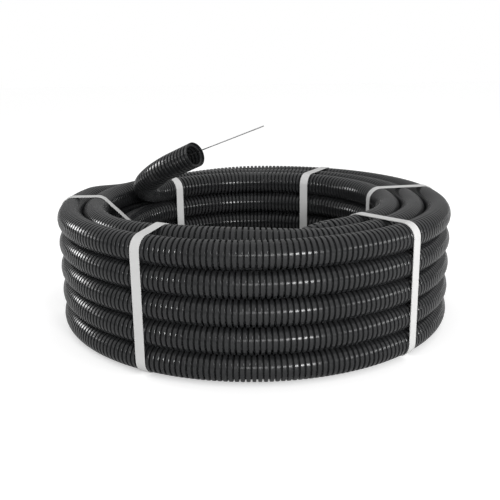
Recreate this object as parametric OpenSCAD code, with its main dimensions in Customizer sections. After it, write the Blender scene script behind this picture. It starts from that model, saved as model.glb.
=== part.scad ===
// Coil of corrugated cable conduit, strapped for storage, with one free end
// and its pull wire. Millimetres. The coil lies flat: its axis is +Z, and the
// origin is on that axis, on the floor. Angles run round the coil from +X.

/* [Conduit] */
// Outside diameter, over the ribs
tube_d = 32; // [24:1:36]
// Distance from one rib to the next
rib_pitch = 6; // [5:0.5:9]
// Width of the groove between two ribs
groove_w = 1.8; // [1:0.2:2.4]
// Depth of the groove between two ribs
groove_depth = 2.8; // [1.5:0.1:3.4]
// Wall thickness
wall = 0.9; // [0.6:0.1:1.2]

/* [Coil] */
// Outside diameter of the coil
coil_d = 508; // [460:4:560]
// How far the ribs of neighbouring turns press into each other
nesting = 1; // [0.5:0.1:1.5]
// Number of turns in the height
rows = 5; // [3:1:7]

/* [Free end] */
// Angle at which the inner turn leaves the coil
leave_angle = 136; // [134:1:142]
// Radius of the bend that lifts the end out of the coil
lift_radius = 82; // [76:2:90]
// How far that bend turns
lift_turn = 80; // [70:2:86]
// Radius of the slow curve behind the mouth
sweep_radius = 200; // [170:5:240]
// How far the slow curve turns
sweep_turn = 18; // [14:1:24]
// Number of ribs on the straight length at the mouth
mouth_ribs = 6; // [4:1:9]

/* [Straps] */
// Width of the strapping
strap_w = 12; // [8:1:16]
// Thickness of the strapping
strap_t = 0.8; // [0.5:0.1:1.2]
// Clearance between the strapping and the ribs
strap_gap = 0.3; // [0.2:0.1:0.5]

/* [Pull wire] */
// Diameter of the pull wire
wire_d = 1.5; // [1:0.1:2.5]
// Length of wire that stands out of the mouth
wire_out = 105; // [60:5:140]

/* [Hidden] */
$fn = 48;
arc_step = 7.5;

// Turns: the rings of the coil, counted from the floor and from the outside
pitch = tube_d - nesting;
floor_z = strap_t + strap_gap;
ring_r = [for (column = [0 : 2]) (coil_d - tube_d) / 2 - column * pitch];
ring_z = [for (row = [0 : rows - 1]) floor_z + tube_d / 2 + row * pitch];
top = rows - 1;

// The inner turn of the top row: it lies there from climb_to round to the free
// end, and comes up from the row below between climb_from and climb_to. Its climb
// runs on inside the turn by climb_bed degrees
climb_from = -100;
climb_to = -60;
climb_mid = (climb_from + climb_to) / 2;
climb_half = (climb_to - climb_from) / 2;
climb_tilt = asin(pitch / 2 / (ring_r[2] * sin(climb_half)));
climb_bed = 2;
climb_d = tube_d - nesting;

// Directions in which the free end's two bends roll about its own axis
lift_roll = 180 + 29;
sweep_roll = -19;

// Ribs and wall. A straight or bent stretch starts and ends inside a rib, where
// the tube and its bore stop short of each other by seam
root_d = tube_d - 2 * groove_depth;
bore_d = root_d - 2 * wall;
rib_w = rib_pitch - groove_w;
cell_d = tube_d - 2 * wall;
cell_w = rib_w - 2 * wall;
mouth_l = mouth_ribs * rib_pitch + rib_w / 2;
seam = 0.4;

// Pull wire: it leaves the mouth along the side of the bore that wire_side names,
// leans wire_lean degrees across it, and starts wire_in inside the rim
wire_side = 40;
wire_lean = 3;
wire_in = 34;

// Angles round the coil at which the straps stand
front_left = -119.5;
front_right = -45.5;
right = 10.5;
back_right = 61.5;
back_left = 133.5;
left = 181;

// A rod of diameter d that starts along +Z and bends towards +X
module bent_rod(d, radius, turn, lead = -seam) {
    lead_angle = lead / radius * 180 / PI;
    translate([radius, 0, 0])
        rotate([90, 0, 180])
            rotate_extrude(start = -lead_angle, angle = turn + lead_angle - seam / radius * 180 / PI)
                translate([radius, 0])
                    circle(d = d);
}

// Carries its children along such a bend to the place after turn degrees
module after_bend(radius, turn)
    translate([radius * (1 - cos(turn)), 0, radius * sin(turn)])
        rotate([0, turn, 0])
            children();

// Discs of thickness w at every rib of a bend, the last one at its end
module bend_discs(d, w, radius, turn) {
    count = round(turn * PI / 180 * radius / rib_pitch);
    for (i = [1 : count])
        after_bend(radius, i * turn / count)
            cylinder(d = d, h = w, center = true);
}

// The straight corrugated wall at the mouth: one turned section, whose ribs are
// centred on each pitch from the last rib of the bend, and whose last rib is cut
// through to make the open rim
function step_out(i, width, from_d, to_d) = [
    [from_d / 2, i * rib_pitch - width / 2], [to_d / 2, i * rib_pitch - width / 2],
    [to_d / 2, i * rib_pitch + width / 2], [from_d / 2, i * rib_pitch + width / 2],
];

module mouth_wall()
    rotate_extrude()
        polygon([
            [bore_d / 2, seam],
            [root_d / 2, seam],
            for (i = [1 : mouth_ribs - 1])
                each step_out(i, rib_w, root_d, tube_d),
            [root_d / 2, mouth_l - rib_w],
            [tube_d / 2, mouth_l - rib_w],
            [tube_d / 2, mouth_l],
            [cell_d / 2, mouth_l],
            [cell_d / 2, mouth_l - rib_w + wall],
            [bore_d / 2, mouth_l - rib_w + wall],
            for (i = [mouth_ribs - 1 : -1 : 1])
                each step_out(i, -cell_w, bore_d, cell_d),
        ]);

// Puts its children at the point where the inner turn leaves the coil, with +Z
// along the conduit, and carries them over the two bends to the mouth's length
module at_lift()
    rotate([0, 0, leave_angle])
        translate([ring_r[2], 0, ring_z[top]])
            rotate([-90, 0, 0])
                rotate([0, 0, lift_roll])
                    children();

module at_sweep()
    at_lift()
        after_bend(lift_radius, lift_turn)
            rotate([0, 0, sweep_roll])
                children();

module at_mouth()
    at_sweep()
        after_bend(sweep_radius, sweep_turn)
            children();

// A ring's section, and the solid section of the whole wound body
module ring_section(column, row)
    translate([ring_r[column], ring_z[row]])
        circle(d = tube_d);

module wound_section() {
    for (row = [0 : top], column = [0 : 1])
        ring_section(column, row);
    for (row = [0 : top - 1])
        ring_section(2, row);
    polygon([
        [ring_r[0], ring_z[0]], [ring_r[0], ring_z[top]], [ring_r[1], ring_z[top]],
        [ring_r[1], ring_z[top - 1]], [ring_r[2], ring_z[top - 1]], [ring_r[2], ring_z[0]],
    ]);
}

module wound_body()
    rotate_extrude($fn = 120)
        wound_section();

// The inner turn of the top row, bedded on its neighbours, and its climb out of
// the row below
module top_turn()
    rotate_extrude(angle = leave_angle - climb_to, start = climb_to, $fn = 120) {
        ring_section(2, top);
        translate([ring_r[2], ring_z[top - 1]])
            square(pitch);
        translate([ring_r[2] + tube_d / 4, ring_z[top - 1] - tube_d / 4])
            square([pitch, pitch]);
    }

module climb()
    translate([0, 0, (ring_z[top] + ring_z[top - 1]) / 2])
        rotate([0, 0, climb_mid])
            rotate([climb_tilt, 0, 0])
                rotate_extrude(angle = 2 * climb_half + climb_bed, start = -climb_half, $fn = 120)
                    translate([ring_r[2], 0])
                        circle(d = climb_d);

// The free end: ribs on the outside, and the same ribs seen as cells in its bore
module free_end() {
    at_lift() {
        bent_rod(root_d, lift_radius, lift_turn, tube_d / 8);
        bend_discs(tube_d, rib_w, lift_radius, lift_turn);
    }
    difference() {
        at_sweep() {
            bent_rod(root_d, sweep_radius, sweep_turn);
            bend_discs(tube_d, rib_w, sweep_radius, sweep_turn);
        }
        at_sweep()
            bent_rod(bore_d, sweep_radius, sweep_turn);
        at_mouth()
            cylinder(d = cell_d, h = cell_w, center = true);
        at_mouth()
            cylinder(d = bore_d, h = rib_w);
    }
    at_mouth()
        mouth_wall();
}

module conduit() color("#2b2c2e") {
    wound_body();
    top_turn();
    climb();
    free_end();
}

// The steel wire runs out of the mouth along the inner edge of its rim
module pull_wire() color("#a9adb0")
    at_mouth()
        rotate([0, 0, wire_side])
            translate([bore_d / 2 - wire_d / 2 - strap_gap, 0, mouth_l])
                rotate([wire_lean, 0, 0])
                    translate([0, 0, -wire_in])
                        cylinder(d = wire_d, h = wire_in + wire_out, $fn = 24);

// The outline that a band takes round tubes whose centres are given in order:
// an arc round each centre, from the edge that arrives to the edge that leaves
function heading(from, to) = atan2(to[1] - from[1], to[0] - from[0]);

function band_outline(centres, radius) = [
    for (i = [0 : len(centres) - 1])
        let (
            count = len(centres),
            arrives = heading(centres[(i + count - 1) % count], centres[i]),
            leaves = heading(centres[i], centres[(i + 1) % count]),
            turn = (leaves - arrives + 360) % 360,
            steps = ceil(turn / arc_step)
        )
        for (k = [0 : steps])
            let (a = arrives - 90 + turn * k / steps)
                centres[i] + radius * [cos(a), sin(a)],
];

// Corners of the bundle, with the top inner turn there or missing
function bundle(full) = [
    [ring_r[2], ring_z[0]],
    [ring_r[0], ring_z[0]],
    [ring_r[0], ring_z[top]],
    if (!full) [ring_r[1], ring_z[top]],
    if (!full) [ring_r[2], ring_z[top - 1]],
    if (full) [ring_r[2], ring_z[top]],
];

// One strap stands across the coil at an angle and closes round the bundle
module strap(angle, full) color("#cfcfcd")
    rotate([0, 0, angle])
        rotate([90, 0, 0])
            translate([0, 0, -strap_w / 2])
                linear_extrude(strap_w)
                    difference() {
                        polygon(band_outline(bundle(full), tube_d / 2 + strap_gap + strap_t));
                        polygon(band_outline(bundle(full), tube_d / 2 + strap_gap));
                    }

conduit();
pull_wire();
strap(front_left, false);  // strap_front_left
strap(front_right, true);  // strap_front_right
strap(right, true);  // strap_right
strap(back_right, true);  // strap_back_right
strap(back_left, true);  // strap_back_left
strap(left, false);  // strap_left
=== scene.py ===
"""Dresses a strapped coil of corrugated conduit: its ribbed turns, the free end
that stands up out of the coil, the straps and the pull wire."""
import math

import bmesh
import bpy
from bpy.props import FloatProperty, FloatVectorProperty, IntProperty, PointerProperty
from mathutils import Matrix, Vector


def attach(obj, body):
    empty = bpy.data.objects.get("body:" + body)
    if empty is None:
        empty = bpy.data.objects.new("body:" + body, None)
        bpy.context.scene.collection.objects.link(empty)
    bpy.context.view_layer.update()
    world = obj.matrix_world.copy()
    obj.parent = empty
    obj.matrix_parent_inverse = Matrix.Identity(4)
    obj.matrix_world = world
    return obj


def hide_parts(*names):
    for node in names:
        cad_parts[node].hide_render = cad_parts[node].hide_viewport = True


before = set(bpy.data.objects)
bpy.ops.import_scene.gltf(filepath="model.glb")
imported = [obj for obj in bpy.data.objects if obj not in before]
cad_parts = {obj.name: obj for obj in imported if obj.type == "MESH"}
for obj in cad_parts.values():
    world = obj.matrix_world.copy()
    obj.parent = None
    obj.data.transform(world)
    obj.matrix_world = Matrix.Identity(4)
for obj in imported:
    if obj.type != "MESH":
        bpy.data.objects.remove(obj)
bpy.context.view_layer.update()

bl_info = {
    "name": "Strapped conduit coil",
    "version": (1, 0, 0),
    "blender": (4, 5, 0),
    "location": "3D View > Sidebar > Conduit coil",
    "description": "Builds the visible form of a strapped coil of corrugated conduit",
    "category": "Object",
}

BODY = "root"

# A rib along the conduit: where its shoulder and its crest start, as shares of half
# its width, and how much less than full the diameter is at the shoulder
SHOULDER = 0.93
CREST = 0.7
SHOULDER_DROP = 0.0008
# The hollow of a rib from within: its mouth and its floor, as shares of the pitch
CELL_MOUTH = 0.35
CELL_FLOOR = 0.28
# Half the length of the step between bore and cell behind the rim
RIM_STEP = 0.0002
# Vertices closer than these are one: within a turn and within a piece
RING_MERGE = 0.00002
PIECE_MERGE = 0.000005

# Angles round the coil, in degrees: where the inner turns climb a row, where the
# bottom turn steps inwards, and where the top turns ride up or sag
CLIMB = (260, 300)
STEP_IN = (300, 340)
COME_DOWN = (-20, 20)
RIDE_UP = (210, 256, 265, 295)
SAG = (88, 136, 143, 166)
RIDE_SHARE = 0.18
SAG_SHARE = 0.25

# Ribs on the top inner turn, and how many ribs later than it the bottom one starts
TOP_RIBS = 101
BOTTOM_DELAY = 20
# Angles by which the ribs of one turn are set off from the next, in radians
ROW_OFFSET = 0.013
TOP_MIDDLE_OFFSET = 0.05

STRAP_STEPS = 88
# Radius at which a strap's loop is laid out flat for its embossing
BAND_RADIUS = 0.09

LAMP_DISTANCE = 2
# Lamp and its setting, its angle round the coil and above the floor, its width and height
LAMPS = (
    ("front_lamp", "front", -66, 14.5, 0.45, 0.3),
    ("side_lamp", "side", -24, 15, 1.3, 0.22),
    ("low_front_lamp", "low_front", -86, 14, 0.85, 0.24),
    ("back_lamp", "back", 155, 16, 0.55, 0.4),
    ("left_lamp", "left", 173, 12, 0.45, 0.2),
)


# ---------------------------------------------------------------- settings

class ConduitSizes(bpy.types.PropertyGroup):
    """Sizes of the conduit and of the coil it is wound into"""
    tube_diameter: FloatProperty(
        name="Tube diameter", description="Outside diameter over the ribs",
        default=0.032, min=0.024, max=0.036, subtype="DISTANCE", unit="LENGTH")
    rib_pitch: FloatProperty(
        name="Rib pitch", description="Distance from one rib to the next",
        default=0.006, min=0.005, max=0.009, subtype="DISTANCE", unit="LENGTH")
    groove_width: FloatProperty(
        name="Groove width", description="Width of the groove between two ribs",
        default=0.0018, min=0.001, max=0.0024, subtype="DISTANCE", unit="LENGTH")
    groove_depth: FloatProperty(
        name="Groove depth", description="Depth of the groove between two ribs",
        default=0.0028, min=0.0015, max=0.0034, subtype="DISTANCE", unit="LENGTH")
    wall: FloatProperty(
        name="Wall", description="Thickness of the conduit's wall",
        default=0.0009, min=0.0006, max=0.0012, subtype="DISTANCE", unit="LENGTH")
    coil_diameter: FloatProperty(
        name="Coil diameter", description="Outside diameter of the coil",
        default=0.508, min=0.46, max=0.56, subtype="DISTANCE", unit="LENGTH")
    nesting: FloatProperty(
        name="Nesting", description="How far the ribs of neighbouring turns press into each other",
        default=0.001, min=0.0005, max=0.0015, subtype="DISTANCE", unit="LENGTH")
    rows: IntProperty(
        name="Rows", description="Number of turns in the coil's height", default=5, min=3, max=7)
    sides: IntProperty(
        name="Sides", description="Faces round the conduit in a wound turn", default=24, min=12, max=32)


class FreeEndSizes(bpy.types.PropertyGroup):
    """Route of the free end from where it leaves the coil to its mouth"""
    leave_angle: FloatProperty(
        name="Leave angle", description="Angle round the coil at which the inner turn leaves it",
        default=math.radians(136), subtype="ANGLE", unit="ROTATION")
    lift_radius: FloatProperty(
        name="Lift radius", description="Radius of the bend that lifts the end out of the coil",
        default=0.082, min=0.076, max=0.09, subtype="DISTANCE", unit="LENGTH")
    lift_turn: FloatProperty(
        name="Lift turn", description="How far that bend turns",
        default=math.radians(80), subtype="ANGLE", unit="ROTATION")
    lift_roll: FloatProperty(
        name="Lift roll", description="Direction in which that bend turns, rolled about the conduit",
        default=math.radians(209), subtype="ANGLE", unit="ROTATION")
    sweep_radius: FloatProperty(
        name="Sweep radius", description="Radius of the slow curve behind the mouth",
        default=0.2, min=0.17, max=0.24, subtype="DISTANCE", unit="LENGTH")
    sweep_turn: FloatProperty(
        name="Sweep turn", description="How far the slow curve turns",
        default=math.radians(18), subtype="ANGLE", unit="ROTATION")
    sweep_roll: FloatProperty(
        name="Sweep roll", description="Direction in which the slow curve turns",
        default=math.radians(-19), subtype="ANGLE", unit="ROTATION")
    mouth_ribs: IntProperty(
        name="Mouth ribs", description="Ribs on the straight length at the mouth", default=6, min=4, max=9)
    sides: IntProperty(
        name="Sides", description="Faces round the conduit in the free end", default=48, min=24, max=64)


class StrapSizes(bpy.types.PropertyGroup):
    """Sizes of the strapping and of the pull wire"""
    width: FloatProperty(
        name="Strap width", description="Width of the strapping",
        default=0.012, min=0.008, max=0.016, subtype="DISTANCE", unit="LENGTH")
    thickness: FloatProperty(
        name="Strap thickness", description="Thickness of the strapping",
        default=0.0008, min=0.0005, max=0.0012, subtype="DISTANCE", unit="LENGTH")
    clearance: FloatProperty(
        name="Strap clearance", description="Clearance between the strapping and the ribs",
        default=0.0003, min=0.0002, max=0.0005, subtype="DISTANCE", unit="LENGTH")


class CoilColours(bpy.types.PropertyGroup):
    """Colours of the coil's finishes"""
    conduit: FloatVectorProperty(
        name="Conduit", description="Colour of the conduit's plastic",
        default=(0.018, 0.0186, 0.0194), min=0, max=1, size=3, subtype="COLOR")
    # Laid on faces that point up: partly dust, partly painted light from above
    conduit_dust_and_top_light: FloatVectorProperty(
        name="Conduit dust", description="Colour of the thin dust that lies on the conduit",
        default=(0.11, 0.11, 0.113), min=0, max=1, size=3, subtype="COLOR")
    strap: FloatVectorProperty(
        name="Strap", description="Colour of the strapping",
        default=(0.6, 0.6, 0.595), min=0, max=1, size=3, subtype="COLOR")
    wire: FloatVectorProperty(
        name="Wire", description="Colour of the pull wire's steel",
        default=(0.72, 0.72, 0.73), min=0, max=1, size=3, subtype="COLOR")
    floor: FloatVectorProperty(
        name="Floor", description="Colour of the floor and the backdrop",
        default=(0.8, 0.8, 0.8), min=0, max=1, size=3, subtype="COLOR")


class ViewSettings(bpy.types.PropertyGroup):
    """Where the camera stands, in multiples of the conduit's diameter where no unit is given"""
    distance: FloatProperty(
        name="Distance", description="Distance from the coil's middle, in tube diameters",
        default=31.0, min=10, max=80)
    elevation: FloatProperty(
        name="Elevation", description="Angle by which the camera looks down",
        default=math.radians(15.66), subtype="ANGLE", unit="ROTATION")
    roll: FloatProperty(
        name="Roll", description="Turn of the camera about its line of sight",
        default=math.radians(-0.82), subtype="ANGLE", unit="ROTATION")
    aim_right: FloatProperty(
        name="Aim to the right", description="How far the camera aims beside the middle, in tube diameters",
        default=-0.179)
    aim_up: FloatProperty(
        name="Aim above", description="How far the camera aims above the middle, in tube diameters",
        default=0.0334)
    lens: FloatProperty(
        name="Lens", description="Focal length on a 36 mm sensor", default=52.66, unit="CAMERA")


class LampSettings(bpy.types.PropertyGroup):
    """Strength of the light on the coil"""
    sky: FloatProperty(
        name="Sky", description="Strength of the even light from above", default=0.9, min=0)
    horizon: FloatProperty(
        name="Horizon", description="Strength of the even light from the sides", default=0.35, min=0)
    floor_lift: FloatProperty(
        name="Floor lift", description="Light that the floor adds where the camera sees it", default=0.4, min=0)
    front: FloatProperty(
        name="Front lamp", description="Brightness of the lamp at the front", default=36.0, min=0)
    side: FloatProperty(
        name="Side lamp", description="Brightness of the weaker lamp beside it", default=9.5, min=0)
    low_front: FloatProperty(
        name="Low front lamp", description="Brightness of the faint lamp at the front", default=9.0, min=0)
    back: FloatProperty(
        name="Back lamp", description="Brightness of the lamp behind the coil", default=13.0, min=0)
    left: FloatProperty(
        name="Left lamp", description="Brightness of the lamp at the left", default=6.0, min=0)


def sizes():
    return bpy.context.scene.conduit_sizes


def end_sizes():
    return bpy.context.scene.free_end_sizes


def strap_sizes():
    return bpy.context.scene.strap_sizes


def colours():
    return bpy.context.scene.coil_colours


def lamps():
    return bpy.context.scene.lamp_settings


# ---------------------------------------------------------------- places in the coil

def turn_pitch():
    return sizes().tube_diameter - sizes().nesting


def column_radius(column):
    """Radius of the centre line of a column of turns, counted from the outside"""
    return (sizes().coil_diameter - sizes().tube_diameter) / 2 - column * turn_pitch()


def row_height(row):
    """Height of the centre line of a row of turns, counted from the floor"""
    lift = strap_sizes().thickness + strap_sizes().clearance
    return lift + sizes().tube_diameter / 2 + row * turn_pitch()


def top_row():
    return sizes().rows - 1


def ease(value, start, end):
    """Rises smoothly from 0 at start to 1 at end"""
    share = min(max((value - start) / (end - start), 0), 1)
    return share * share * (3 - 2 * share)


def outer_lift(row, degrees):
    """The outer turns sag together at the back, the top one most"""
    rise, full, fade, end = SAG
    depth = SAG_SHARE * sizes().tube_diameter * row / top_row()
    return -depth * ease(degrees, rise, full) * (1 - ease(degrees, fade, end))


def middle_lift(row, degrees):
    """The top middle turn rides up where the inner turn climbs beside it"""
    if row < top_row():
        return 0
    rise, full, fade, end = RIDE_UP
    return RIDE_SHARE * sizes().tube_diameter * ease(degrees, rise, full) * (1 - ease(degrees, fade, end))


def inner_top(degrees):
    """Height of the uppermost inner turn, which lies a row lower past the free end"""
    if degrees < math.degrees(end_sizes().leave_angle) + 1:
        return row_height(top_row())
    return row_height(top_row() - 1) + turn_pitch() * ease(degrees, *CLIMB)


def bend_turn(bm, radius, height, start, offset):
    """Moves each ring of a turn by offset(degrees) = (outwards, up), square to its new path"""
    for vert in bm.verts:
        angle = math.atan2(vert.co.y, vert.co.x)
        angle += 2 * math.pi * math.ceil((start - 0.001 - angle) / (2 * math.pi))
        degrees = math.degrees(angle)
        out, up = offset(degrees)
        ahead = offset(degrees + 0.5)
        run = math.radians(0.5) * radius
        side = math.atan2(ahead[0] - out, run)
        slope = math.atan2(ahead[1] - up, run)
        u, w = math.hypot(vert.co.x, vert.co.y) - radius, vert.co.z - height
        along = -w * math.sin(slope) - u * math.sin(side)
        reach = radius + out + u * math.cos(side)
        angle += along / radius
        vert.co = (reach * math.cos(angle), reach * math.sin(angle), height + up + w * math.cos(slope))


# ---------------------------------------------------------------- ribbed tube

def rib_rings():
    """Places along one pitch, from the rib's middle, and the diameter there"""
    s = sizes()
    half = (s.rib_pitch - s.groove_width) / 2
    root = s.tube_diameter - 2 * s.groove_depth
    return (
        (-half, root),
        (-half * SHOULDER, s.tube_diameter - SHOULDER_DROP),
        (-half * CREST, s.tube_diameter),
        (half * CREST, s.tube_diameter),
        (half * SHOULDER, s.tube_diameter - SHOULDER_DROP),
        (half, root),
    )


def ring_edges(verts):
    inside = set(verts)
    return [e for v in verts for e in v.link_edges if e.other_vert(v) in inside and e.verts[0] is v]


def grow_tube(bm, stations, sides):
    """Extrudes a ring through stations of (matrix, diameter); returns the last ring"""
    matrix, diameter = stations[0]
    verts = bmesh.ops.create_circle(
        bm, segments=sides, radius=diameter / 2, matrix=matrix)["verts"]
    edges = ring_edges(verts)
    place, size = matrix, diameter
    for matrix, diameter in stations[1:]:
        grown = bmesh.ops.extrude_edge_only(bm, edges=edges)["geom"]
        verts = [g for g in grown if isinstance(g, bmesh.types.BMVert)]
        edges = [g for g in grown if isinstance(g, bmesh.types.BMEdge)
                 and g.verts[0] in verts and g.verts[1] in verts]
        step = matrix @ Matrix.Scale(diameter / size, 4) @ place.inverted()
        bmesh.ops.transform(bm, matrix=step, verts=verts)
        for edge in edges:
            edge.smooth = False
        place, size = matrix, diameter
    return verts


def coil_place(radius, height, angle):
    """Frame on a level turn: +Z along the conduit, +X away from the coil's axis"""
    return (Matrix.Rotation(angle, 4, "Z")
            @ Matrix.Translation((radius, 0, height))
            @ Matrix.Rotation(math.radians(-90), 4, "X"))


def ribbed_turn(radius, height, ribs, ribs_in_turn, start):
    """A stretch of ribbed tube round the coil's axis, as a bmesh"""
    bm = bmesh.new()
    step = 2 * math.pi / ribs_in_turn
    spread = step / sizes().rib_pitch
    rings = [(start + (0.5 * step + at * spread), size) for at, size in rib_rings()]
    rings.append((rings[0][0] + step, rings[0][1]))
    grow_tube(bm, [(coil_place(radius, height, a), d) for a, d in rings], sizes().sides)
    bmesh.ops.spin(
        bm, geom=bm.verts[:] + bm.edges[:] + bm.faces[:], cent=(0, 0, 0), axis=(0, 0, 1),
        dvec=(0, 0, 0), angle=step * (ribs - 1), steps=ribs - 1, use_duplicate=True)
    bmesh.ops.remove_doubles(bm, verts=bm.verts[:], dist=RING_MERGE)
    close_ends(bm)
    return bm


def close_ends(bm):
    rims = [e for e in bm.edges if e.is_boundary]
    if rims:
        bmesh.ops.edgeloop_fill(bm, edges=rims)


def finish_piece(bm, name, material, smooth=True):
    """Turns a bmesh into a piece of the object that rides on its body"""
    bmesh.ops.remove_doubles(bm, verts=bm.verts[:], dist=PIECE_MERGE)
    bmesh.ops.recalc_face_normals(bm, faces=bm.faces[:])
    for face in bm.faces:
        face.smooth = smooth
    mesh = bpy.data.meshes.new(name)
    bm.to_mesh(mesh)
    bm.free()
    piece = bpy.data.objects.new(name, mesh)
    bpy.context.scene.collection.objects.link(piece)
    mesh.materials.append(material)
    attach(piece, BODY)
    return piece


# ---------------------------------------------------------------- materials

def new_material(name):
    material = bpy.data.materials.new(name)
    material.use_nodes = True
    tree = material.node_tree
    tree.nodes.clear()
    output = tree.nodes.new("ShaderNodeOutputMaterial")
    shader = tree.nodes.new("ShaderNodeBsdfPrincipled")
    tree.links.new(shader.outputs["BSDF"], output.inputs["Surface"])
    return material, tree, shader


def new_group(name, inputs, outputs):
    group = bpy.data.node_groups.new(name, "ShaderNodeTree")
    for label, default in inputs:
        socket = group.interface.new_socket(label, in_out="INPUT", socket_type="NodeSocketFloat")
        socket.default_value = default
    for label in outputs:
        group.interface.new_socket(label, in_out="OUTPUT", socket_type="NodeSocketFloat")
    return group, group.nodes.new("NodeGroupInput"), group.nodes.new("NodeGroupOutput")


FINE_GRAIN = 22
FINE_SHARE = 0.4
EMBOSS_LEAN = math.radians(35)
EMBOSS_SCALE = 170


def grain_group():
    """Uneven skin of a moulded or drawn surface: a mottle and a fine height"""
    if "surface_grain" in bpy.data.node_groups:
        return bpy.data.node_groups["surface_grain"]
    group, given, result = new_group("surface_grain", (("Scale", 40.0),), ("Mottle", "Height"))
    nodes, links = group.nodes, group.links
    place = nodes.new("ShaderNodeTexCoord")
    broad = nodes.new("ShaderNodeTexNoise")
    broad.inputs["Detail"].default_value = 4
    links.new(place.outputs["Object"], broad.inputs["Vector"])
    links.new(given.outputs["Scale"], broad.inputs["Scale"])
    links.new(broad.outputs["Fac"], result.inputs["Mottle"])
    finer = nodes.new("ShaderNodeMath")
    finer.operation = "MULTIPLY"
    finer.inputs[1].default_value = FINE_GRAIN
    links.new(given.outputs["Scale"], finer.inputs[0])
    fine = nodes.new("ShaderNodeTexNoise")
    fine.inputs["Detail"].default_value = 3
    links.new(place.outputs["Object"], fine.inputs["Vector"])
    links.new(finer.outputs["Value"], fine.inputs["Scale"])
    both = nodes.new("ShaderNodeMath")
    both.operation = "MULTIPLY_ADD"
    both.inputs[1].default_value = FINE_SHARE
    links.new(fine.outputs["Fac"], both.inputs[0])
    links.new(broad.outputs["Fac"], both.inputs[2])
    links.new(both.outputs["Value"], result.inputs["Height"])
    return group


def painted_top_light_and_dust_group():
    """Mask of dust settling on what faces up, which also paints light from above onto those faces"""
    if "painted_top_light_and_dust" in bpy.data.node_groups:
        return bpy.data.node_groups["painted_top_light_and_dust"]
    group, given, result = new_group("painted_top_light_and_dust", (("Amount", 0.2),), ("Mask",))
    nodes, links = group.nodes, group.links
    shape = nodes.new("ShaderNodeNewGeometry")
    split = nodes.new("ShaderNodeSeparateXYZ")
    links.new(shape.outputs["Normal"], split.inputs["Vector"])
    # Lighter the more a face points up: dust, and painted light from above
    facing = nodes.new("ShaderNodeMapRange")
    facing.inputs["From Min"].default_value = 0.25
    facing.inputs["From Max"].default_value = 1.0
    links.new(split.outputs["Z"], facing.inputs["Value"])
    place = nodes.new("ShaderNodeTexCoord")
    cloud = nodes.new("ShaderNodeTexNoise")
    cloud.inputs["Scale"].default_value = 60
    cloud.inputs["Detail"].default_value = 5
    links.new(place.outputs["Object"], cloud.inputs["Vector"])
    patchy = nodes.new("ShaderNodeMapRange")
    patchy.inputs["From Min"].default_value = 0.35
    patchy.inputs["From Max"].default_value = 0.75
    links.new(cloud.outputs["Fac"], patchy.inputs["Value"])
    up_facing_patches = nodes.new("ShaderNodeMath")
    up_facing_patches.operation = "MULTIPLY"
    links.new(facing.outputs["Result"], up_facing_patches.inputs[0])
    links.new(patchy.outputs["Result"], up_facing_patches.inputs[1])
    scaled = nodes.new("ShaderNodeMath")
    scaled.operation = "MULTIPLY"
    links.new(up_facing_patches.outputs["Value"], scaled.inputs[0])
    links.new(given.outputs["Amount"], scaled.inputs[1])
    links.new(scaled.outputs["Value"], result.inputs["Mask"])
    return group


def add_group(tree, group, **values):
    node = tree.nodes.new("ShaderNodeGroup")
    node.node_tree = group
    for label, value in values.items():
        node.inputs[label].default_value = value
    return node


def vary_roughness(tree, shader, value, low, high):
    spread = tree.nodes.new("ShaderNodeMapRange")
    spread.inputs["From Min"].default_value = 0.3
    spread.inputs["From Max"].default_value = 0.7
    spread.inputs["To Min"].default_value = low
    spread.inputs["To Max"].default_value = high
    tree.links.new(value, spread.inputs["Value"])
    tree.links.new(spread.outputs["Result"], shader.inputs["Roughness"])


def mix_colours(tree, factor, first, second):
    mix = tree.nodes.new("ShaderNodeMix")
    mix.data_type = "RGBA"
    mix.inputs["A"].default_value = (*first, 1)
    mix.inputs["B"].default_value = (*second, 1)
    tree.links.new(factor, mix.inputs["Factor"])
    return mix.outputs["Result"]


def raise_bumps(tree, shader, height, distance, strength=1.0):
    bump = tree.nodes.new("ShaderNodeBump")
    bump.inputs["Distance"].default_value = distance
    bump.inputs["Strength"].default_value = strength
    tree.links.new(height, bump.inputs["Height"])
    tree.links.new(bump.outputs["Normal"], shader.inputs["Normal"])


def black_plastic():
    """Smooth black plastic with a little dust on top, which also stands for painted light from above"""
    if "black_plastic" in bpy.data.materials:
        return bpy.data.materials["black_plastic"]
    material, tree, shader = new_material("black_plastic")
    grain = add_group(tree, grain_group(), Scale=45.0)
    dust_and_top_light = add_group(tree, painted_top_light_and_dust_group(), Amount=0.12)
    # What faces up is painted lighter: partly dust, partly painted light from above
    colour = mix_colours(tree, dust_and_top_light.outputs["Mask"], colours().conduit, colours().conduit_dust_and_top_light)
    tree.links.new(colour, shader.inputs["Base Color"])
    shader.inputs["Specular IOR Level"].default_value = 0.35
    vary_roughness(tree, shader, grain.outputs["Mottle"], 0.17, 0.25)
    raise_bumps(tree, shader, grain.outputs["Height"], 0.000008)
    return material


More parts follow.
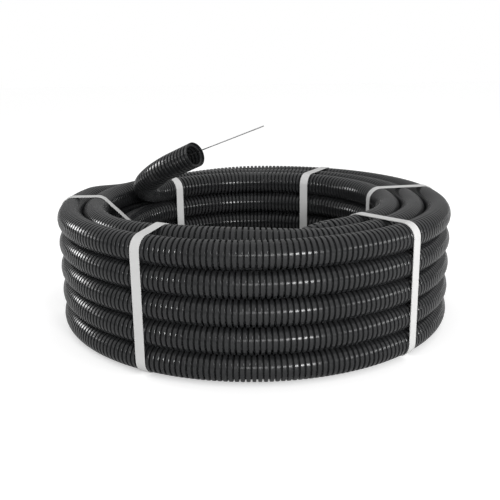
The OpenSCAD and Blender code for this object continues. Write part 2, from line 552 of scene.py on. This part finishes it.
def strapping():
    """Pale plastic band, embossed with crossing lines"""
    if "strap_plastic" in bpy.data.materials:
        return bpy.data.materials["strap_plastic"]
    material, tree, shader = new_material("strap_plastic")
    nodes, links = tree.nodes, tree.links
    grain = add_group(tree, grain_group(), Scale=70.0)
    colour = mix_colours(tree, grain.outputs["Mottle"], colours().strap, [c * 0.93 for c in colours().strap])
    links.new(colour, shader.inputs["Base Color"])
    vary_roughness(tree, shader, grain.outputs["Mottle"], 0.36, 0.5)
    flat = nodes.new("ShaderNodeUVMap")
    flat.uv_map = "band"
    heights = []
    for turn in (EMBOSS_LEAN, -EMBOSS_LEAN):
        lean = nodes.new("ShaderNodeMapping")
        lean.inputs["Rotation"].default_value = (0, 0, turn)
        links.new(flat.outputs["UV"], lean.inputs["Vector"])
        lines = nodes.new("ShaderNodeTexWave")
        lines.inputs["Scale"].default_value = EMBOSS_SCALE
        links.new(lean.outputs["Vector"], lines.inputs["Vector"])
        heights.append(lines.outputs["Fac"])
    cross = nodes.new("ShaderNodeMath")
    cross.operation = "MULTIPLY"
    links.new(heights[0], cross.inputs[0])
    links.new(heights[1], cross.inputs[1])
    both = nodes.new("ShaderNodeMath")
    both.operation = "MULTIPLY_ADD"
    both.inputs[1].default_value = 0.5
    links.new(grain.outputs["Height"], both.inputs[0])
    links.new(cross.outputs["Value"], both.inputs[2])
    raise_bumps(tree, shader, both.outputs["Value"], 0.00008, 0.6)
    return material


def wire_steel():
    """Zinc-dulled steel wire"""
    material, tree, shader = new_material("zinc_steel")
    grain = add_group(tree, grain_group(), Scale=120.0)
    colour = mix_colours(tree, grain.outputs["Mottle"], colours().wire, [c * 0.75 for c in colours().wire])
    tree.links.new(colour, shader.inputs["Base Color"])
    shader.inputs["Metallic"].default_value = 1.0
    vary_roughness(tree, shader, grain.outputs["Mottle"], 0.26, 0.42)
    raise_bumps(tree, shader, grain.outputs["Height"], 0.00005)
    return material


def floor_finish():
    """Matt pale floor"""
    material, tree, shader = new_material("pale_floor")
    grain = add_group(tree, grain_group(), Scale=9.0)
    colour = mix_colours(tree, grain.outputs["Mottle"], colours().floor, [c * 0.99 for c in colours().floor])
    tree.links.new(colour, shader.inputs["Base Color"])
    shader.inputs["Roughness"].default_value = 0.9
    shader.inputs["Emission Color"].default_value = (1, 1, 1, 1)
    ray = tree.nodes.new("ShaderNodeLightPath")
    lift = tree.nodes.new("ShaderNodeMath")
    lift.operation = "MULTIPLY"
    lift.inputs[1].default_value = lamps().floor_lift
    tree.links.new(ray.outputs["Is Camera Ray"], lift.inputs[0])
    tree.links.new(lift.outputs["Value"], shader.inputs["Emission Strength"])
    return material


# ---------------------------------------------------------------- operators

class COIL_OT_outer_turns(bpy.types.Operator):
    """Winds the outer column of ribbed turns"""
    bl_idname = "coil.outer_turns"
    bl_label = "Outer turns"

    def execute(self, context):
        radius = column_radius(0)
        ribs = round(2 * math.pi * radius / sizes().rib_pitch)
        for row in range(sizes().rows):
            start = row * ROW_OFFSET
            bm = ribbed_turn(radius, row_height(row), ribs, ribs, start)
            bend_turn(bm, radius, row_height(row), start, lambda degrees: (0, outer_lift(row, degrees)))
            piece = finish_piece(bm, f"outer_turn_{row + 1}", black_plastic())
            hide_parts("conduit")
        return {"FINISHED"}


def bottom_middle_offset(degrees):
    """The bottom turn comes down from the row above and steps inwards at its end"""
    down = turn_pitch() * (1 - ease(degrees, *COME_DOWN))
    return -turn_pitch() * ease(degrees, *STEP_IN), down


def inner_rib_step():
    return 2 * math.pi / round(2 * math.pi * column_radius(2) / sizes().rib_pitch)


def inner_start(ribs):
    """Angle that lies this many ribs before the free end"""
    return end_sizes().leave_angle + (0.5 - ribs) * inner_rib_step()


class COIL_OT_middle_turns(bpy.types.Operator):
    """Winds the middle column: ribbed turns at its top and bottom, plain ones hidden between"""
    bl_idname = "coil.middle_turns"
    bl_label = "Middle turns"

    def execute(self, context):
        radius = column_radius(1)
        ribs = round(2 * math.pi * radius / sizes().rib_pitch)
        start = inner_start(TOP_RIBS - BOTTOM_DELAY)
        bm = ribbed_turn(radius, row_height(0), ribs, ribs, start)
        bend_turn(bm, radius, row_height(0), start, bottom_middle_offset)
        piece = finish_piece(bm, "middle_turn_1", black_plastic())
        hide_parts("conduit")
        row, start = top_row(), TOP_MIDDLE_OFFSET
        bm = ribbed_turn(radius, row_height(row), ribs, ribs, start)
        bend_turn(bm, radius, row_height(row), start, lambda degrees: (0, middle_lift(row, degrees)))
        piece = finish_piece(bm, f"middle_turn_{row + 1}", black_plastic())
        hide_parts("conduit")
        for row in range(1, top_row()):
            bm = hidden_turn(radius, row_height(row))
            piece = finish_piece(bm, f"middle_turn_{row + 1}", black_plastic())
            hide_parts("conduit")
        return {"FINISHED"}


def hidden_turn(radius, height):
    """A closed plain ring as thick as the conduit's grooves"""
    bm = bmesh.new()
    root = sizes().tube_diameter - 2 * sizes().groove_depth
    bmesh.ops.create_circle(bm, segments=16, radius=root / 2, matrix=coil_place(radius, height, 0))
    bmesh.ops.spin(
        bm, geom=bm.verts[:] + bm.edges[:], cent=(0, 0, 0), axis=(0, 0, 1), dvec=(0, 0, 0),
        angle=2 * math.pi, steps=96, use_merge=True)
    return bm


class COIL_OT_inner_turns(bpy.types.Operator):
    """Winds the inner column, each turn climbing to the next at the front"""
    bl_idname = "coil.inner_turns"
    bl_label = "Inner turns"

    def execute(self, context):
        radius = column_radius(2)
        whole = round(2 * math.pi * radius / sizes().rib_pitch)
        for row in range(sizes().rows):
            ribs, start = whole, inner_start(TOP_RIBS)
            if row == 0:
                ribs, start = whole - BOTTOM_DELAY, inner_start(TOP_RIBS - BOTTOM_DELAY)
            if row == top_row():
                ribs = TOP_RIBS
            bm = ribbed_turn(radius, row_height(row), ribs, whole, start)
            bend_turn(bm, radius, row_height(row), start,
                      lambda degrees: (0, turn_pitch() * ease(degrees, *CLIMB)))
            piece = finish_piece(bm, f"inner_turn_{row + 1}", black_plastic())
            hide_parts("conduit")
        return {"FINISHED"}


def after_bend(radius, turn):
    return (Matrix.Translation((radius * (1 - math.cos(turn)), 0, radius * math.sin(turn)))
            @ Matrix.Rotation(turn, 4, "Y"))


def cell_rings():
    """Places round a rib from within, and the hollow's diameter there"""
    s = sizes()
    cell = s.tube_diameter - 2 * s.wall
    bore = cell - 2 * s.groove_depth
    mouth, floor = CELL_MOUTH * s.rib_pitch, CELL_FLOOR * s.rib_pitch
    return (-mouth, bore), (-floor, cell), (floor, cell), (mouth, bore)


def bend_starts():
    """Frames at which the lifting bend, the slow curve and the straight mouth start"""
    e = end_sizes()
    lift = (coil_place(column_radius(2), row_height(top_row()), e.leave_angle)
            @ Matrix.Rotation(e.lift_roll, 4, "Z"))
    sweep = lift @ after_bend(e.lift_radius, e.lift_turn) @ Matrix.Rotation(e.sweep_roll, 4, "Z")
    return lift, sweep, sweep @ after_bend(e.sweep_radius, e.sweep_turn)


def on_mouth(distance):
    """Frame on the straight length at the mouth, its facets in line with the lifting bend's"""
    return (bend_starts()[2] @ Matrix.Translation((0, 0, distance))
            @ Matrix.Rotation(-end_sizes().sweep_roll, 4, "Z"))


def free_end_stations(rings, mouth_ribs):
    """Stations (frame, diameter) at every rib from the coil to the mouth"""
    s, e = sizes(), end_sizes()
    lift, sweep, mouth = bend_starts()
    unroll = Matrix.Rotation(-e.sweep_roll, 4, "Z")
    bends = (
        (lift, e.lift_radius, e.lift_turn, Matrix.Identity(4)),
        (sweep, e.sweep_radius, e.sweep_turn, unroll),
    )
    stations = []
    for start, radius, turn, roll in bends:
        count = round(turn * radius / s.rib_pitch)
        for i in range(1, count + 1):
            for at, size in rings:
                angle = turn / count * (i + at / s.rib_pitch)
                stations.append((start @ after_bend(radius, angle) @ roll, size))
    for i in range(1, mouth_ribs + 1):
        stations += [(on_mouth(i * s.rib_pitch + at), size) for at, size in rings]
    return stations


class COIL_OT_free_end(bpy.types.Operator):
    """Shapes the free end from the coil to its open mouth"""
    bl_idname = "coil.free_end"
    bl_label = "Free end"

    def execute(self, context):
        s, e = sizes(), end_sizes()
        rib = s.rib_pitch - s.groove_width
        cell = s.tube_diameter - 2 * s.wall
        bore = cell - 2 * s.groove_depth
        length = e.mouth_ribs * s.rib_pitch + rib / 2
        outside = free_end_stations(rib_rings(), e.mouth_ribs)
        outside = outside[:-(len(rib_rings()) // 2)]
        outside += [(on_mouth(length), s.tube_diameter), (on_mouth(length), cell)]
        behind_rim = length - rib + s.wall
        inside = free_end_stations(cell_rings(), e.mouth_ribs - 1)
        inside += [(on_mouth(behind_rim - RIM_STEP), bore), (on_mouth(behind_rim + RIM_STEP), cell)]
        bm = bmesh.new()
        grow_tube(bm, outside + inside[::-1], e.sides)
        close_ends(bm)
        piece = finish_piece(bm, "free_end", black_plastic())
        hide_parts("conduit")
        return {"FINISHED"}


def strap_loop(degrees):
    """Section of a strap drawn tight round the turns: points (outwards, up) and their normals"""
    low, high = row_height(0), row_height(top_row())
    middles = [
        (column_radius(0), low), (column_radius(1), low), (column_radius(2), low),
        (column_radius(0), high + outer_lift(top_row(), degrees)),
        (column_radius(1), high + middle_lift(top_row(), degrees)),
        (column_radius(2), inner_top(degrees)),
    ]
    reach = sizes().tube_diameter / 2 + strap_sizes().clearance
    loop = []
    for i in range(STRAP_STEPS):
        turn = 2 * math.pi * (i + 0.5) / STRAP_STEPS
        normal = Vector((math.cos(turn), math.sin(turn)))
        middle = max(middles, key=lambda place: normal.dot(Vector(place)))
        loop.append((Vector(middle) + normal * reach, normal))
    return loop


def strap_angle(name):
    """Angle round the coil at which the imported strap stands"""
    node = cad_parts[name]
    corners = [node.matrix_world @ Vector(corner) for corner in node.bound_box]
    middle = sum(corners, Vector()) / len(corners)
    return math.atan2(middle.y, middle.x)


class COIL_OT_straps(bpy.types.Operator):
    """Draws each strap round the turns that it holds"""
    bl_idname = "coil.straps"
    bl_label = "Straps"

    def execute(self, context):
        s = strap_sizes()
        for name in [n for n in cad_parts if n.startswith("strap_")]:
            angle = strap_angle(name)
            degrees = math.degrees(angle) % 360
            bm = bmesh.new()
            shape = bm.loops.layers.uv.new("band")
            first = bmesh.ops.create_circle(
                bm, segments=4, radius=0.5 / math.cos(math.pi / 4),
                matrix=Matrix.Rotation(math.pi / 4, 4, "Z"))["verts"]
            verts, edges = first, ring_edges(first)
            place = Matrix.Identity(4)
            for point, normal in strap_loop(degrees):
                target = (Matrix.Rotation(angle, 4, "Z") @ band_place(point, normal)
                          @ Matrix.Diagonal((s.thickness, s.width, 1, 1)))
                if place != Matrix.Identity(4):
                    grown = bmesh.ops.extrude_edge_only(bm, edges=edges)["geom"]
                    verts = [g for g in grown if isinstance(g, bmesh.types.BMVert)]
                    edges = ring_edges(verts)
                bmesh.ops.transform(bm, matrix=target @ place.inverted(), verts=verts)
                place = target
            bmesh.ops.bridge_loops(bm, edges=edges + ring_edges(first))
            lay_out_band(bm, shape, angle)
            piece = finish_piece(bm, name + "_band", strapping(), smooth=False)
            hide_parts(name)
        return {"FINISHED"}


def band_place(point, normal):
    """Frame on the strap's middle line: +X out of the band, +Y across it, +Z along it"""
    out = Vector((normal.x, 0, normal.y))
    across = Vector((0, 1, 0))
    along = out.cross(across)
    frame_axes = Matrix((out, across, along)).transposed().to_4x4()
    middle = Vector((point.x, 0, point.y)) + out * strap_sizes().thickness / 2
    return Matrix.Translation(middle) @ frame_axes


def lay_out_band(bm, shape, angle):
    """Lays the strap out flat: across it and round the loop, in metres"""
    home = Matrix.Rotation(-angle, 4, "Z")
    middle = Vector((column_radius(1), (row_height(0) + row_height(top_row())) / 2))
    for face in bm.faces:
        for loop in face.loops:
            place = home @ loop.vert.co
            round_it = math.atan2(place.z - middle.y, place.x - middle.x)
            loop[shape].uv = (place.y, round_it * BAND_RADIUS)


class COIL_OT_pull_wire(bpy.types.Operator):
    """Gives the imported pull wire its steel"""
    bl_idname = "coil.pull_wire"
    bl_label = "Pull wire"

    def execute(self, context):
        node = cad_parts["pull_wire"]
        node.data.materials.clear()
        node.data.materials.append(wire_steel())
        return {"FINISHED"}


class COIL_OT_stage(bpy.types.Operator):
    """Sets up the floor, the lamps and the camera"""
    bl_idname = "coil.stage"
    bl_label = "Stage"

    def execute(self, context):
        scene = context.scene
        scene.view_settings.view_transform = "Standard"
        bm = bmesh.new()
        bmesh.ops.create_grid(bm, x_segments=1, y_segments=1, size=6)
        mesh = bpy.data.meshes.new("floor")
        bm.to_mesh(mesh)
        bm.free()
        floor = bpy.data.objects.new("floor", mesh)
        scene.collection.objects.link(floor)
        mesh.materials.append(floor_finish())
        light_sky(scene)
        for name, setting, azimuth, elevation, width, height in LAMPS:
            add_lamp(name, azimuth, elevation, (width, height), getattr(lamps(), setting))
        add_camera(scene)
        return {"FINISHED"}


def light_sky(scene):
    """Even light, stronger from above than from the sides, with white behind the coil"""
    world = scene.world or bpy.data.worlds.new("world")
    scene.world = world
    world.use_nodes = True
    tree = world.node_tree
    tree.nodes.clear()
    output = tree.nodes.new("ShaderNodeOutputWorld")
    sky = tree.nodes.new("ShaderNodeBackground")
    sky.inputs["Color"].default_value = (1, 1, 1, 1)
    tree.links.new(sky.outputs["Background"], output.inputs["Surface"])
    place = tree.nodes.new("ShaderNodeTexCoord")
    split = tree.nodes.new("ShaderNodeSeparateXYZ")
    tree.links.new(place.outputs["Generated"], split.inputs["Vector"])
    height = tree.nodes.new("ShaderNodeMapRange")
    height.inputs["From Min"].default_value = 0.05
    height.inputs["From Max"].default_value = 0.9
    height.inputs["To Min"].default_value = lamps().horizon
    height.inputs["To Max"].default_value = lamps().sky
    tree.links.new(split.outputs["Z"], height.inputs["Value"])
    ray = tree.nodes.new("ShaderNodeLightPath")
    seen = tree.nodes.new("ShaderNodeMix")
    seen.inputs["B"].default_value = 1.0
    tree.links.new(ray.outputs["Is Camera Ray"], seen.inputs["Factor"])
    tree.links.new(height.outputs["Result"], seen.inputs["A"])
    tree.links.new(seen.outputs["Result"], sky.inputs["Strength"])


def add_lamp(name, azimuth, elevation, size, brightness):
    """Stands a lamp at its distance from the coil and turns it to the coil"""
    turn, rise = math.radians(azimuth), math.radians(elevation)
    ray = Vector((math.cos(turn) * math.cos(rise), math.sin(turn) * math.cos(rise), math.sin(rise)))
    lamp = bpy.data.lights.new(name, "AREA")
    lamp.shape = "RECTANGLE"
    lamp.size, lamp.size_y = size
    lamp.energy = brightness * math.pi * lamp.size * lamp.size_y
    holder = bpy.data.objects.new(name, lamp)
    holder.location = Vector((0, 0, row_height(top_row()) / 2)) + ray * LAMP_DISTANCE
    holder.rotation_euler = (-ray).to_track_quat("-Z", "Y").to_euler()
    bpy.context.scene.collection.objects.link(holder)


def add_camera(scene):
    """Stands the camera in front of the coil, as far above its middle as the view needs"""
    view, tube = scene.view_settings_coil, sizes().tube_diameter
    middle = Vector((0, 0, (row_height(0) + row_height(top_row())) / 2))
    back = Vector((0, -math.cos(view.elevation), math.sin(view.elevation)))
    above = Vector((0, math.sin(view.elevation), math.cos(view.elevation)))
    eye = middle + back * view.distance * tube
    aim = middle + (Vector((1, 0, 0)) * view.aim_right + above * view.aim_up) * tube
    look = (aim - eye).normalized()
    right = look.cross(Vector((0, 0, 1))).normalized()
    up = right.cross(look)
    level = Matrix((right, up, -look)).transposed().to_4x4()
    lens = bpy.data.cameras.new("camera")
    lens.lens = view.lens
    lens.sensor_width = 36
    camera = bpy.data.objects.new("camera", lens)
    camera.matrix_world = Matrix.Translation(eye) @ level @ Matrix.Rotation(view.roll, 4, "Z")
    scene.collection.objects.link(camera)
    scene.camera = camera


class COIL_PT_panel(bpy.types.Panel):
    """Lists the coil's settings and the steps that build it"""
    bl_idname = "COIL_PT_panel"
    bl_label = "Conduit coil"
    bl_space_type = "VIEW_3D"
    bl_region_type = "UI"
    bl_category = "Conduit coil"

    def draw(self, context):
        layout = self.layout
        for group in ("conduit_sizes", "free_end_sizes", "strap_sizes", "coil_colours",
                      "view_settings_coil", "lamp_settings"):
            holder = getattr(context.scene, group)
            box = layout.box()
            for key in holder.bl_rna.properties.keys():
                if key not in ("rna_type", "name"):
                    box.prop(holder, key)
        for operator in STEPS:
            layout.operator(operator.bl_idname)


STEPS = (
    COIL_OT_outer_turns,
    COIL_OT_middle_turns,
    COIL_OT_inner_turns,
    COIL_OT_free_end,
    COIL_OT_straps,
    COIL_OT_pull_wire,
    COIL_OT_stage,
)
GROUPS = {
    "conduit_sizes": ConduitSizes,
    "free_end_sizes": FreeEndSizes,
    "strap_sizes": StrapSizes,
    "coil_colours": CoilColours,
    "view_settings_coil": ViewSettings,
    "lamp_settings": LampSettings,
}


def register():
    for group in GROUPS.values():
        bpy.utils.register_class(group)
    for name, group in GROUPS.items():
        setattr(bpy.types.Scene, name, PointerProperty(type=group))
    for operator in STEPS:
        bpy.utils.register_class(operator)
    bpy.utils.register_class(COIL_PT_panel)


def unregister():
    bpy.utils.unregister_class(COIL_PT_panel)
    for operator in reversed(STEPS):
        bpy.utils.unregister_class(operator)
    for name, group in GROUPS.items():
        delattr(bpy.types.Scene, name)
        bpy.utils.unregister_class(group)


def main():
    register()
    bpy.ops.coil.stage()
    bpy.ops.coil.outer_turns()
    bpy.ops.coil.middle_turns()
    bpy.ops.coil.inner_turns()
    bpy.ops.coil.free_end()
    bpy.ops.coil.straps()
    bpy.ops.coil.pull_wire()


if __name__ == "__main__":
    main()
